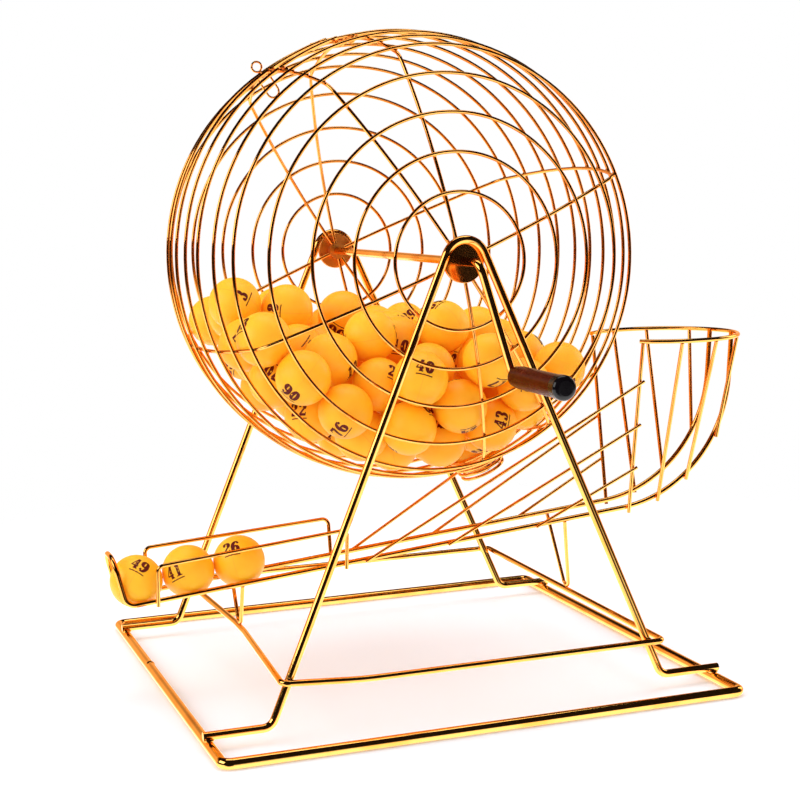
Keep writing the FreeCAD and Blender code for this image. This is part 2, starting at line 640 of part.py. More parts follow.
def rib_shape():
    """Dished face, knuckle, barrel, knuckle, dished face, in the X-Y plane."""
    barrel, dish, bend = size("barrel_arc"), size("dish_arc"), size("knuckle_bend")
    # The knuckle's centre is inside both curves by its own radius.
    apart = (DISH_CENTRE - BARREL_CENTRE).Length
    along = (DISH_CENTRE - BARREL_CENTRE).normalize()
    across = Vector(-along.y, along.x, 0)
    step = ((barrel - bend) ** 2 - (dish - bend) ** 2 + apart ** 2) / (2 * apart)
    knuckle = BARREL_CENTRE + along * step + across * math.sqrt((barrel - bend) ** 2 - step ** 2)
    on_barrel = arc_point(BARREL_CENTRE, barrel, knuckle - BARREL_CENTRE)
    on_dish = arc_point(DISH_CENTRE, dish, knuckle - DISH_CENTRE)
    bend_middle = arc_point(knuckle, bend, (on_barrel - knuckle) + (on_dish - knuckle))
    inner = size("collar_radius") + size("weld_gap")
    tip = Vector(inner, size("dish_centre") + math.sqrt(dish ** 2 - inner ** 2), 0)
    dish_middle = arc_point(DISH_CENTRE, dish, (tip - DISH_CENTRE) + (on_dish - DISH_CENTRE))
    half = [tip, dish_middle, on_dish, bend_middle, on_barrel]
    line = [Vector(point.x, -point.y, 0) for point in half]
    line += [Vector(size("cage_crown"), 0, 0)] + half[::-1]
    arcs = [Part.Arc(*line[start:start + 3]).toShape() for start in range(0, len(line) - 1, 2)]
    return swept(arcs, size("cage_wire") / 2)


def ring_arc(name, radius, plane_y, start=0.0, turn=360.0):
    """A ring, or an arc of one, round the axle.  The radius and the plane are formulas."""
    ring = doc.addObject("Part::Torus", name)
    ring.Placement = Placement(AXLE_CENTRE, Rotation(Vector(1, 0, 0), 90)
                               * Rotation(Vector(0, 0, 1), start))
    ring.setExpression("Radius1", radius)
    ring.setExpression("Radius2", "Sizes.cage_wire / 2")
    ring.setExpression("Placement.Base.y", plane_y)
    ring.setExpression("Placement.Base.z", "Sizes.axle_height")
    ring.Angle3 = turn
    return ring


def barrel_ring(number, side):
    """Formulas of a barrel ring's radius and plane; rings are counted from the middle."""
    plane_y = f"{side} * {number} * Sizes.barrel_pitch"
    radius = (f"Sizes.barrel_centre + sqrt((Sizes.barrel_arc + Sizes.weld_reach)^2"
              f" - ({number} * Sizes.barrel_pitch)^2)")
    return radius, plane_y


def face_ring(number, side):
    """Formulas of a face ring's radius and plane; rings are counted from the axle."""
    radius = f"Sizes.face_ring_first + {number - 1} * Sizes.face_ring_step"
    plane_y = (f"{side} * (Sizes.dish_centre + sqrt((Sizes.dish_arc + Sizes.weld_reach)^2"
               f" - ({radius})^2))")
    return radius, plane_y


def arc_degrees(length, radius):
    """The angle in degrees of a short length round a circle."""
    return math.degrees(length / radius)


def cage_rings():
    """Nine rings on the barrel and four on each face, welded outside the ribs."""
    middle_radius = barrel_radius(0, size("weld_reach"))
    split = arc_degrees(size("door_split"), middle_radius)
    after_door = DOOR_RIB_LATCH + split
    before_door = DOOR_RIB_HINGE - split + 360
    coil_mouth = size("coil_tip_radius") + size("coil_length") * coil_taper()
    coil_reach = coil_mouth + size("coil_wire") / 2 + size("weld_gap")
    coil_half = math.degrees(math.asin(coil_reach / (middle_radius - size("cage_wire") / 2)))
    outlet = size("door_angle") + 180
    left = ring_arc("centre_ring_left", *barrel_ring(0, 1), after_door,
                    outlet - coil_half - after_door)
    right = ring_arc("centre_ring_right", *barrel_ring(0, 1), outlet + coil_half,
                     before_door - outlet - coil_half)
    centre = doc.addObject("Part::Compound", "cage_ring_centre")
    centre.Links = [left, right]
    keep(centre, "cage_ring_centre")
    for name, side in (("front", -1), ("rear", 1)):
        label = f"{name}_barrel_ring_1"
        keep(ring_arc(label, *barrel_ring(1, side), after_door, before_door - after_door), label)
        for number in (2, 3, 4):
            label = f"{name}_barrel_ring_{number}"
            keep(ring_arc(label, *barrel_ring(number, side)), label)
        for number in (1, 2, 3, 4):
            label = f"{name}_face_ring_{number}"
            keep(ring_arc(label, *face_ring(number, side)), label)


COIL_CORNERS = 12


def coil_taper():
    """How fast the coil narrows: it clears the rings beside it and ends at its tip radius."""
    beside = barrel_radius(size("barrel_pitch"), size("weld_reach"))
    return (size("coil_radius") - size("coil_tip_radius")) / (coil_tip() - beside)


def coil_tip():
    """Radius from the axle of the coil's narrow end."""
    return size("cage_crown") + size("coil_length")


def outlet_coil():
    """A close coil that stands out of the cage and narrows, so that it holds one ball.

    It is bent in equal arcs, which touch the coil's own curve half way between their corners.
    """
    step = 2 * math.pi / COIL_CORNERS
    count = int(size("coil_length") / size("coil_pitch") * COIL_CORNERS)
    corners = []
    for number in range(count + 1):
        along = size("coil_pitch") * number / COIL_CORNERS
        radius = (size("coil_tip_radius") + along * coil_taper()) / math.cos(step / 2)
        turn = number * step
        corners.append(Vector(radius * math.cos(turn), radius * math.sin(turn), along))
    points = [(corners[0] + corners[1]) / 2] + corners[1:-1] + [(corners[-2] + corners[-1]) / 2]
    bends = []
    for before, corner, after in zip(corners, corners[1:], corners[2:]):
        come, leave = corner - before, after - corner
        half_run = min(come.Length, leave.Length) / 2
        bends.append(half_run / math.tan(come.getAngle(leave) / 2))
    inward = drum_placement(size("door_angle") + 180).multiply(
        Placement(Vector(coil_tip(), 0, 0), Rotation(Vector(0, 1, 0), -90)))
    wire_part("outlet_coil", [bent_wire(points, bends, size("coil_wire"))], inward)


rib = rib_shape()
for label, angle in RIBS:
    wire_part(label, [rib], drum_placement(angle))
cage_rings()
outlet_coil()

# ---------------------------------------------------------------- door and latch

def around(radius, y, angle):
    """A point at a radius and an angle round the axle."""
    turn = math.radians(angle)
    return AXLE_CENTRE + Vector(radius * math.cos(turn), y, radius * math.sin(turn))


HINGE_Y = size("barrel_pitch") / 2
HINGE_RADIUS = barrel_radius(HINGE_Y)
EYE_RADIUS = size("cage_wire") / 2 + size("eye_gap") + size("eye_wire") / 2


def door():
    """Three bars over two side wires, with two arms hooked round the rib beside the door."""
    wire, weld = size("door_wire"), size("weld_gap")
    bar_lift = size("cage_wire") / 2 + wire / 2 + weld
    side_lift = bar_lift - wire - weld
    # The hinge arms leave the rib square, so the door stands off the cage at its hinge side.
    arm_reach = math.hypot(HINGE_RADIUS + EYE_RADIUS, size("door_hinge_offset"))
    hinge_lift = arm_reach - size("eye_wire") / 2 - wire / 2 - weld - HINGE_RADIUS
    hinge_angle = DOOR_RIB_HINGE + math.degrees(
        math.atan2(size("door_hinge_offset"), HINGE_RADIUS + EYE_RADIUS))
    side_offset = size("cage_wire") / 2 + wire / 2 + size("door_side_gap")
    latch_angle = DOOR_RIB_LATCH - arc_degrees(side_offset, size("cage_crown"))
    sides = []
    for angle, lift in ((latch_angle, side_lift), (hinge_angle, hinge_lift)):
        tip = size("door_tip_y")
        points = [around(barrel_radius(y, lift), y, angle) for y in (-tip, 0, tip)]
        sides.append(swept([Part.Arc(*points).toShape()], wire / 2))
    wire_part("door_side_wires", sides)
    split = arc_degrees(size("door_split"), size("cage_crown"))
    tail = arc_degrees(wire, size("cage_crown"))
    middle_angle = (latch_angle + hinge_angle) / 2
    end_lift = hinge_lift + wire + weld
    middle_lift = (2 * bar_lift + end_lift) / 3
    tail_lift = (end_lift - middle_lift) * tail / (middle_angle - hinge_angle)
    bars = []
    for place in (-1, 0, 1):
        y = place * size("barrel_pitch")
        ends = (
            (DOOR_RIB_LATCH - split, bar_lift),
            (middle_angle, middle_lift),
            (hinge_angle - tail, end_lift + tail_lift),
        )
        points = [around(barrel_radius(y, lift), y, angle) for angle, lift in ends]
        bars.append(swept([Part.Arc(*points).toShape()], wire / 2))
    wire_part("door_bars", bars)
    turn = math.radians(DOOR_RIB_HINGE)
    outward = Vector(math.cos(turn), 0, math.sin(turn))
    along = Vector(-math.sin(turn), 0, math.cos(turn))
    arms = []
    for y in (-HINGE_Y, HINGE_Y):
        centre = around(HINGE_RADIUS, y, DOOR_RIB_HINGE)
        crown = centre + outward * EYE_RADIUS
        side = centre - (outward + along).normalize() * EYE_RADIUS
        edges = [
            Part.LineSegment(crown + along * size("door_arm_length"), crown).toShape(),
            Part.Arc(crown, side, centre + along * EYE_RADIUS).toShape(),
        ]
        arms.append(swept(edges, size("eye_wire") / 2))
    wire_part("door_hinge_arms", arms)


def door_latch():
    """A figure-eight clip: its long loop slides along the rib and over the door's tip."""
    wire = size("latch_wire")
    span = size("cage_wire") + size("door_side_gap") + size("door_wire")
    half = span / 2 + size("latch_gap") + wire / 2
    middle_offset = span / 2 - size("cage_wire") / 2
    rib_radius = barrel_radius(size("latch_y"))
    bottom = rib_radius - size("latch_depth")
    shoulder = rib_radius + size("latch_shoulder")
    crossing = rib_radius + size("latch_cross")
    step = wire / 2 + size("weld_gap") / 2
    # The finger loop is round: its neck's bends and its top's meet half way up its sides.
    finger = size("latch_finger")
    neck_rise = finger / 2
    neck = crossing + neck_rise
    top = neck + finger * (1 + math.tan(math.atan2(finger, neck_rise) / 2)) + size("weld_gap")
    half_butt = size("butt_gap") / 2
    seam = (bottom + shoulder) / 2
    outline = [
        (half, seam + half_butt, 0),
        (half, shoulder, 0),
        (0, crossing, step),
        (-finger, neck, 0),
        (-finger, top, 0),
        (finger, top, 0),
        (finger, neck, 0),
        (0, crossing, -step),
        (-half, shoulder, 0),
        (-half, bottom, 0),
        (half, bottom, 0),
        (half, seam - half_butt, 0),
    ]
    turn = math.radians(DOOR_RIB_LATCH)
    outward = Vector(math.cos(turn), 0, math.sin(turn))
    along = Vector(-math.sin(turn), 0, math.cos(turn))
    points = []
    for across, radius, y in outline:
        place = outward * radius + along * (across - middle_offset)
        points.append(AXLE_CENTRE + place + Vector(0, size("latch_y") + y, 0))
    bends = [size("latch_bend")] * 2 + [finger] * 4 + [size("latch_bend")] * 2 + [half] * 2
    wire_part("door_latch", [bent_wire(points, bends, wire)])


door()
door_latch()

# ---------------------------------------------------------------- grip

def turned_body(label, outline, front_y):
    """A turned piece on the grip's pin.

    Each corner of the outline names the sizes of its radius and of its place; None is 0.
    """
    body = doc.addObject("PartDesign::Body", label)
    sketch = body.newObject("Sketcher::SketchObject", label + "_profile")
    sketch.AttachmentSupport = (origin_plane(body, "XY_Plane"), [""])
    sketch.MapMode = "FlatFace"
    corners = []
    for radius, place in outline:
        corners.append(Vector(size(radius) if radius else 0, size(place) if place else 0, 0))
    count = len(corners)
    for index, corner in enumerate(corners):
        sketch.addGeometry(Part.LineSegment(corner, corners[(index + 1) % count]))
    for index in range(count):
        sketch.addConstraint(Sketcher.Constraint("Coincident", index, 2, (index + 1) % count, 1))
    for index, (radius, place) in enumerate(outline):
        for alias, distance, zero_axis in ((radius, "DistanceX", -2), (place, "DistanceY", -1)):
            if alias is None:
                sketch.addConstraint(Sketcher.Constraint("PointOnObject", index, 1, zero_axis))
                continue
            number = sketch.addConstraint(
                Sketcher.Constraint(distance, -1, 1, index, 1, size(alias)))
            sketch.setExpression(f"Constraints[{number}]", f"Sizes.{alias}")
    turned = body.newObject("PartDesign::Revolution", label + "_turned")
    turned.Profile = sketch
    turned.ReferenceAxis = (sketch, ["V_Axis"])
    turned.Angle = 360.0
    body.setExpression("Placement.Base.x", "Sizes.pin_x")
    body.setExpression("Placement.Base.y", front_y)
    body.setExpression("Placement.Base.z", "Sizes.pin_z")
    doc.recompute()
    return keep(body, label)


def rounded(body, radius, formula):
    """Rounds the circular edges of a given radius on a turned piece."""
    base = body.Tip
    fillet = body.newObject("PartDesign::Fillet", body.Label + "_rounding")
    fillet.Base = (base, rim_edges(base, radius))
    fillet.setExpression("Radius", formula)
    doc.recompute()


def grip():
    """Collar, body and end cap, which turn together on the crank's pin."""
    collar = turned_body("grip_collar", (
        ("running_bore", None),
        ("grip_collar_radius", None),
        ("grip_collar_radius", "grip_collar_length"),
        ("running_bore", "grip_collar_length"),
    ), "Sizes.grip_body_rear")
    rounded(collar, size("grip_collar_radius"), "Sizes.grip_round")
    body = turned_body("grip_body", (
        ("grip_socket_radius", None),
        ("grip_radius", None),
        ("grip_radius", "grip_length"),
        ("running_bore", "grip_length"),
        ("running_bore", "grip_socket_depth"),
        ("grip_socket_radius", "grip_socket_depth"),
    ), "Sizes.grip_body_front")
    rounded(body, size("grip_radius"), "Sizes.grip_round")
    cap = turned_body("grip_end_cap", (
        (None, None),
        ("cap_radius", None),
        ("cap_radius", "cap_length"),
        ("spigot_radius", "cap_length"),
        ("spigot_radius", "cap_back"),
        (None, "cap_back"),
    ), "Sizes.grip_body_front - Sizes.cap_length")
    face = cap.Tip
    dome = cap.newObject("PartDesign::Fillet", "grip_end_cap_dome")
    edges = []
    for index, edge in enumerate(face.Shape.Edges, start=1):
        if isinstance(edge.Curve, Part.Circle) and abs(edge.Curve.Center.y) < 1e-6:
            edges.append(f"Edge{index}")
    dome.Base = (face, edges)
    dome.setExpression("Radius", "Sizes.cap_round")
    round_plate("pin_retainer", "Sizes.retainer_radius", "Sizes.fixed_bore",
                "Sizes.retainer_thick", "Sizes.retainer_front", "Sizes.pin_x", "Sizes.pin_z")


grip()

# ---------------------------------------------------------------- balls

BALL_COUNT = 86
BALL_COLUMNS = 6
BALL_ROWS = 5
SETTLE_STEPS = 260
FINISH_PASSES = 400


def hollow_ball(label, centre):
    """A hollow ball in a node of its own."""
    shell = doc.addObject("Part::Sphere", label + "_outside")
    shell.setExpression("Radius", "Sizes.ball_radius")
    hollow = doc.addObject("Part::Sphere", label + "_inside")
    hollow.setExpression("Radius", "Sizes.ball_radius - Sizes.ball_wall")
    ball = doc.addObject("Part::Cut", label)
    ball.Base = shell
    ball.Tool = hollow
    ball.Placement = Placement(centre, Rotation())
    keep(ball, label)


def drawn_balls():
    """Three balls in a row, the first against the tray's end loop."""
    rest = size("ball_radius") + size("rail_wire") / 2 + size("ball_gap")
    lift = math.sqrt(rest ** 2 - size("rail_half_gap") ** 2)
    lean = math.radians(size("tray_end_lean"))
    upright = Vector(-math.sin(lean), 0, math.cos(lean))
    half_corner = RAIL_RUN.getAngle(upright) / 2
    corner, _ = rail_point(size("tray_end_x"))
    inward = (RAIL_RUN + upright).normalize()
    first = corner + inward * (lift / math.sin(half_corner))
    spacing = 2 * size("ball_radius") + size("ball_gap")
    for number in (1, 2, 3):
        hollow_ball(f"drawn_ball_{number}", first + RAIL_RUN * (spacing * (number - 1)))


def waiting_radius():
    """Distance from the axle of the ball that waits in the coil's narrow end."""
    taper = coil_taper()
    clear = size("ball_radius") + size("coil_wire") / 2 + size("ball_gap")
    seat = clear * math.hypot(1, taper)
    return coil_tip() - (seat - size("coil_tip_radius")) / taper


BALL_CLEAR = size("ball_radius") + size("ball_gap")
# What reaches into the drum and sweeps round with it: two places along Y, the innermost
# radius between them, and how far a ball's centre keeps away.
SWEPT = (
    (size("latch_y") - size("latch_lock_travel") - size("latch_wire"),
     size("latch_y") + size("latch_free_travel") + size("latch_wire"),
     barrel_radius(size("latch_y")) - size("latch_depth") - size("latch_wire"), BALL_CLEAR),
    (-HINGE_Y - size("eye_wire") / 2, HINGE_Y + size("eye_wire") / 2,
     HINGE_RADIUS - EYE_RADIUS - size("eye_wire") / 2, BALL_CLEAR),
    (0.0, 0.0, waiting_radius(), 2 * size("ball_radius") + size("ball_gap")),
)


def pushed_inside(centre):
    """A ball's centre moved back inside what the turning drum leaves free."""
    across, y, up = centre
    wall = size("cage_wire") / 2 + BALL_CLEAR
    radius = math.hypot(across, up)
    free_radius = radius
    reach = math.hypot(radius - size("barrel_centre"), y)
    limit = size("barrel_arc") - wall
    if reach > limit:
        free_radius = size("barrel_centre") + (radius - size("barrel_centre")) * limit / reach
        y = y * limit / reach
    depth = abs(y) - size("dish_centre")
    reach = math.hypot(free_radius, depth)
    limit = size("dish_arc") - wall
    if reach > limit:
        free_radius *= limit / reach
        y = math.copysign(size("dish_centre") + depth * limit / reach, y)
    for low, high, inner, clear in SWEPT:
        gap_y = max(low - y, y - high, 0.0)
        if gap_y < clear:
            free_radius = min(free_radius, inner - math.sqrt(clear ** 2 - gap_y ** 2))
    across *= free_radius / radius
    up *= free_radius / radius
    return [across, y, min(up, -size("collar_radius") - BALL_CLEAR)]


def settled_balls():
    """Drops the balls in rows, moves them down in small steps and pushes them apart."""
    radius = size("ball_radius")
    apart = 2 * radius + size("ball_gap")
    balls = []
    for index in range(BALL_COUNT):
        column = index % BALL_COLUMNS
        row = (index // BALL_COLUMNS) % BALL_ROWS
        layer = index // (BALL_COLUMNS * BALL_ROWS)
        sway = math.sin(2.4 * index)
        balls.append([
            (column - (BALL_COLUMNS - 1) / 2) * 0.95 * apart + 0.15 * radius * sway,
            (row - (BALL_ROWS - 1) / 2) * 1.02 * apart + 0.15 * radius * math.cos(1.7 * index),
            -6.5 * radius + layer * 0.9 * apart + 0.05 * radius * sway,
        ])
    lean = math.radians(size("heap_lean"))
    for step in range(SETTLE_STEPS + FINISH_PASSES):
        drop = 0.1 * radius * max(0.0, 1 - step / SETTLE_STEPS)
        worst = 0.0
        for ball in balls:
            ball[0] -= drop * math.sin(lean)
            ball[2] -= drop * math.cos(lean)
        for first in range(BALL_COUNT):
            one = balls[first]
            for other in balls[first + 1:]:
                across = other[0] - one[0]
                if abs(across) >= apart:
                    continue
                along = other[1] - one[1]
                up = other[2] - one[2]
                squared = across * across + along * along + up * up
                if squared >= apart * apart:
                    continue
                distance = math.sqrt(squared)
                push = (apart - distance) / 2
                worst = max(worst, push)
                scale = push / distance
                for axis, part in enumerate((across, along, up)):
                    one[axis] -= part * scale
                    other[axis] += part * scale
        balls = [pushed_inside(ball) for ball in balls]
        if step > SETTLE_STEPS and worst < 0.001 * radius:
            break
    return balls


def drum_balls():
    """The heap of loose balls in the drum, one node."""
    shapes = []
    for across, along, up in settled_balls():
        centre = AXLE_CENTRE + Vector(across, along, up)
        outside = Part.makeSphere(size("ball_radius"), centre)
        inside = Part.makeSphere(size("ball_radius") - size("ball_wall"), centre)
        shapes.append(outside.cut(inside))
    wire_part("drum_balls", shapes)


drawn_balls()
drum_balls()
hollow_ball("waiting_ball", around(waiting_radius(), 0, size("door_angle") + 180))

# ---------------------------------------------------------------- checks and export

doc.recompute()
for item in doc.Objects:
    if "Invalid" in item.State or "Error" in item.State:
        raise RuntimeError(f"{item.Label} failed: {item.State}")
for piece in SUB_PARTS:
    if piece.Shape.isNull() or not piece.Shape.isValid():
        raise RuntimeError(f"{piece.Label} has no valid shape")

os.makedirs("parts", exist_ok=True)
for piece in SUB_PARTS:
    piece.Shape.exportStep(f"parts/{piece.Label}.step")
print(len(SUB_PARTS), "sub-parts written")
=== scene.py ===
import math

import bpy
import numpy as np
from mathutils import Matrix, Vector


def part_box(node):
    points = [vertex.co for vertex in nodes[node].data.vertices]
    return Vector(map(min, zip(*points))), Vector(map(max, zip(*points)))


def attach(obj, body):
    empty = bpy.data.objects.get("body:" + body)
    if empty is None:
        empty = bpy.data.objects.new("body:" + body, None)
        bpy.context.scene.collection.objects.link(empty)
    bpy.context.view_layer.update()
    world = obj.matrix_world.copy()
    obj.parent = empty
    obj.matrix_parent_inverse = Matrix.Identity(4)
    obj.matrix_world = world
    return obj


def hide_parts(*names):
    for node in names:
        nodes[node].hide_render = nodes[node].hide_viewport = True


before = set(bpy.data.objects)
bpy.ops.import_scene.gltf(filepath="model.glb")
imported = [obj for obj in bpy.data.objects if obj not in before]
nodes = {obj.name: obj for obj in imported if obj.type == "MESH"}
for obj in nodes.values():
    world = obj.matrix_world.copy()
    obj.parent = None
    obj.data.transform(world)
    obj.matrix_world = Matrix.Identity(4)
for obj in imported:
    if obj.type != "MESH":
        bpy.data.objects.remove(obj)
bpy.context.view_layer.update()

# ---------------------------------------------------------------- stand
# The stand is two leg frames of 6 mm wire on a base ring of 7.5 mm wire, tied by a lighter
# ring.  All of it is steel wire, bent cold, welded, and plated bright gold in one bath.


class Signal:
    """One socket of a material, so that shader maths is written as an expression."""

    def __init__(self, tree, socket=None):
        self.tree = tree
        self.socket = socket

    def node(self, kind, settings=None, sockets=None, output=0):
        """Adds a node: its settings first, then the values or links of its sockets.

        A socket goes by its name, or by its number where several have the same name.
        """
        made = self.tree.nodes.new(kind)
        for name, value in (settings or {}).items():
            if name != "stops":
                setattr(made, name, value)
                continue
            while len(made.color_ramp.elements) < len(value):
                made.color_ramp.elements.new(0.5)
            for element, (place, colour) in zip(made.color_ramp.elements, value):
                element.position = place
                element.color = (*colour, 1.0)
        for name, value in (sockets or {}).items():
            if isinstance(value, Signal):
                self.tree.links.new(value.socket, made.inputs[name])
            else:
                made.inputs[name].default_value = value
        return Signal(self.tree, made.outputs[output] if made.outputs else None)

    def maths(self, operation, first, second):
        return self.node("ShaderNodeMath", {"operation": operation}, {0: first, 1: second})

    def __add__(self, other):
        return self.maths("ADD", self, other)

    def __sub__(self, other):
        return self.maths("SUBTRACT", self, other)

    def __rsub__(self, other):
        return self.maths("SUBTRACT", other, self)

    def __mul__(self, other):
        return self.maths("MULTIPLY", self, other)

    __radd__ = __add__
    __rmul__ = __mul__

    def between(self, low, high):
        """0 below low, 1 above high, and a smooth step from one to the other."""
        settings = {"interpolation_type": "SMOOTHSTEP"}
        sockets = {"Value": self, "From Min": low, "From Max": high}
        return self.node("ShaderNodeMapRange", settings, sockets)

    def mixed(self, first, second):
        """A colour from first, where this signal is 0, to second, where it is 1."""
        share, first_colour, second_colour, mixed_colour = 0, 6, 7, 2
        sockets = {share: self, first_colour: first, second_colour: second}
        return self.node("ShaderNodeMix", {"data_type": "RGBA"}, sockets, output=mixed_colour)


def new_material(name):
    """A material with an empty node tree, and a signal to start its expressions from."""
    material = bpy.data.materials.new(name)
    material.use_nodes = True
    material.node_tree.nodes.clear()
    return material, Signal(material.node_tree)


def surface_shader(start, sockets):
    """The material's Principled shader, linked to its output."""
    shader = start.node("ShaderNodeBsdfPrincipled", {}, sockets)
    start.node("ShaderNodeOutputMaterial", {}, {"Surface": shader})


def gold_plate(name, colour, deep, roughness, grain):
    """Gold plating: its tone drifts, and the grain of the metal shows faintly through it."""
    material, start = new_material(name)
    place = start.node("ShaderNodeTexCoord", output="Object")
    drift = start.node("ShaderNodeTexNoise", {}, {"Vector": place, "Scale": 38.0, "Detail": 3.0})
    skin = start.node("ShaderNodeTexNoise", {}, {"Vector": place, "Scale": grain, "Detail": 2.0})
    tone = drift.between(0.40, 0.68)
    bump = start.node("ShaderNodeBump", {}, {"Height": skin, "Strength": 0.05, "Distance": 0.0004})
    surface_shader(start, {
        "Base Color": tone.mixed((*colour, 1.0), (*deep, 1.0)),
        "Metallic": 1.0,
        "Roughness": skin * 0.05 + roughness,
        "Specular Tint": (1.0, 0.86, 0.62, 1.0),
        "Normal": bump,
    })
    return material


def dress(names, material):
    """Gives CAD nodes one material."""
    for name in names:
        mesh = nodes[name].data
        mesh.materials.clear()
        mesh.materials.append(material)


WIRE_GOLD = (0.97, 0.52, 0.13)
WIRE_DEEP_GOLD = (0.93, 0.42, 0.08)
heavy_gold = gold_plate("plated_stand_wire", WIRE_GOLD, WIRE_DEEP_GOLD, 0.06, 420.0)
dress(("base_ring", "tie_ring", "front_leg_frame", "rear_leg_frame"), heavy_gold)


def solid(name, points, faces, material, body, smooth=True):
    """A piece from an array of points and a list of faces, which rides on a body."""
    mesh = bpy.data.meshes.new(name)
    mesh.from_pydata(points.reshape(-1, 3).tolist(), [], faces)
    mesh.polygons.foreach_set("use_smooth", [smooth] * len(mesh.polygons))
    mesh.materials.append(material)
    piece = bpy.data.objects.new(name, mesh)
    bpy.context.scene.collection.objects.link(piece)
    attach(piece, body)
    return piece


def tube_faces(rows, columns):
    """Faces of a closed tube: quads between rows of points, and one face over each end.

    Point number = row * columns + column; a quad joins two rows and two columns.
    """
    row, column = np.meshgrid(np.arange(rows - 1), np.arange(columns), indexing="ij")
    here = row * columns + column
    beside = row * columns + (column + 1) % columns
    quads = np.stack([here, beside, beside + columns, here + columns], axis=-1)
    ends = [list(range(columns))[::-1], list(range((rows - 1) * columns, rows * columns))]
    return quads.reshape(-1, 4).tolist() + ends


LAST_LATITUDE = math.radians(87.5)


def globe_points(rows, columns):
    """Unit directions on rows of latitude: (cos lat cos lon, cos lat sin lon, sin lat).

    The rows stop at the last latitude, where one small flat face closes the pole.
    """
    latitude = np.linspace(-1, 1, rows)[:, None] * LAST_LATITUDE
    longitude = np.arange(columns)[None, :] * (2 * math.pi / columns)
    directions = np.stack([
        np.cos(latitude) * np.cos(longitude),
        np.cos(latitude) * np.sin(longitude),
        np.sin(latitude) + 0 * longitude,
    ], axis=-1)
    return directions.reshape(-1, 3)


def repeated(faces, count, step):
    """The same faces for each of several copies of a grid, whose points follow each other."""
    return [[corner + copy * step for corner in face] for copy in range(count) for face in faces]


BEAD_ROWS = 6
BEAD_COLUMNS = 9


def weld_beads(name, places, axes, material, body):
    """Flattened beads of weld metal where two wires cross.

    A point of a bead = its place + a unit direction times the bead's three half axes.
    """
    ball = globe_points(BEAD_ROWS, BEAD_COLUMNS)
    points = np.einsum("pk,nkc->npc", ball, np.array(axes)) + np.array(places)[:, None, :]
    faces = repeated(tube_faces(BEAD_ROWS, BEAD_COLUMNS), len(places), len(ball))
    solid(name, points, faces, material, body)


STUB_WELD_X = 0.195
STUB_WELD_Y = 0.153
STUB_WELD_Z = 0.00753
STUB_BEAD = np.diag([0.0042, 0.0038, 0.0016])
stub_welds = [(side_x * STUB_WELD_X, side_y * STUB_WELD_Y, STUB_WELD_Z)
              for side_x in (-1, 1) for side_y in (-1, 1)]
weld_beads("foot_welds", stub_welds, [STUB_BEAD] * len(stub_welds), heavy_gold, "root")

TIE_WELDS = ((-0.1375, -0.1560, 0.0416), (0.1390, -0.1560, 0.0380),
             (-0.1356, 0.1560, 0.0459), (0.1356, 0.1560, 0.0459))
TIE_BEAD = np.diag([0.0032, 0.0012, 0.0032])
weld_beads("tie_welds", TIE_WELDS, [TIE_BEAD] * len(TIE_WELDS), heavy_gold, "root")

BUTT_ROWS = 9
BUTT_COLUMNS = 28
BUTT_LEAN = 0.6
BUTT_UNFILED = 0.35


def butt_weld(name, place, radius, reach, proud):
    """The ground weld round a bar's butt joint, along Y.

    Its radius = the bar's + proud * (1 + cos(pi s)) / 2 * (sin(turn + lean) + unfiled), with
    s from -1 to 1 over its length and the last bracket kept between 0 and 1: it stands proud
    on the bar's upper and inner sides, and is filed flush underneath.
    """
    along = np.linspace(-1, 1, BUTT_ROWS)[:, None]
    turn = np.arange(BUTT_COLUMNS)[None, :] * (2 * math.pi / BUTT_COLUMNS)
    left = np.clip(np.sin(turn + BUTT_LEAN) + BUTT_UNFILED, 0, 1)
    out = radius + proud * ((1 + np.cos(math.pi * along)) / 2 * left)
    points = np.stack([
        place[0] + out * np.cos(turn),
        place[1] + reach * along + 0 * turn,
        place[2] + out * np.sin(turn),
    ], axis=-1)
    faces = [face[::-1] for face in tube_faces(BUTT_ROWS, BUTT_COLUMNS)]
    solid(name, points, faces, heavy_gold, "root")


butt_weld("base_butt_weld", (-0.195, 0.0529, 0.00375), radius=0.00373, reach=0.0030, proud=0.0006)


# ---------------------------------------------------------------- bearing discs and hub collars
# Round plates, blanked from sheet and plated: the front disc and collar are polished first,
# so that they mirror the room, and the rear ones are satin, in a paler gold that is painted
# light to brighten them.  The discs are welded inside the leg frames' tops; the collars
# hold the cage.

disc_gold = gold_plate("plated_disc", (0.86, 0.34, 0.08), (0.55, 0.17, 0.035), 0.12, 300.0)
# Painted light: the rear disc and collar get a paler gold than the front ones, so that they show
# brighter.
satin_painted_bright_gold = gold_plate("satin_disc_painted_bright", (0.97, 0.46, 0.12), (0.90, 0.30, 0.06), 0.42, 300.0)
dress(("front_bearing_disc", "front_hub_collar"), disc_gold)
dress(("rear_bearing_disc", "rear_hub_collar"), satin_painted_bright_gold)


# ---------------------------------------------------------------- chute, tray and basket
# Two rails bent from one wire, with guards, supports, trough wires and a funnel basket of
# thinner wire welded to them.

rail_gold = gold_plate("plated_rail_wire", (0.97, 0.50, 0.12), (0.92, 0.38, 0.07), 0.07, 520.0)
dress(("chute_rails", "front_tray_guard", "rear_tray_guard", "tray_rail_support",
       "basket_rail_support", "front_trough_wires", "rear_trough_wires", "basket_rim",
       "front_basket_ribs", "rear_basket_ribs"), rail_gold)


# ---------------------------------------------------------------- crank rod and cage
# One 6 mm rod is axle, crank arm and grip pin.  The cage on it is six bent ribs with
# seventeen rings outside them, of 2.6 mm wire, spot-welded wherever two wires cross.

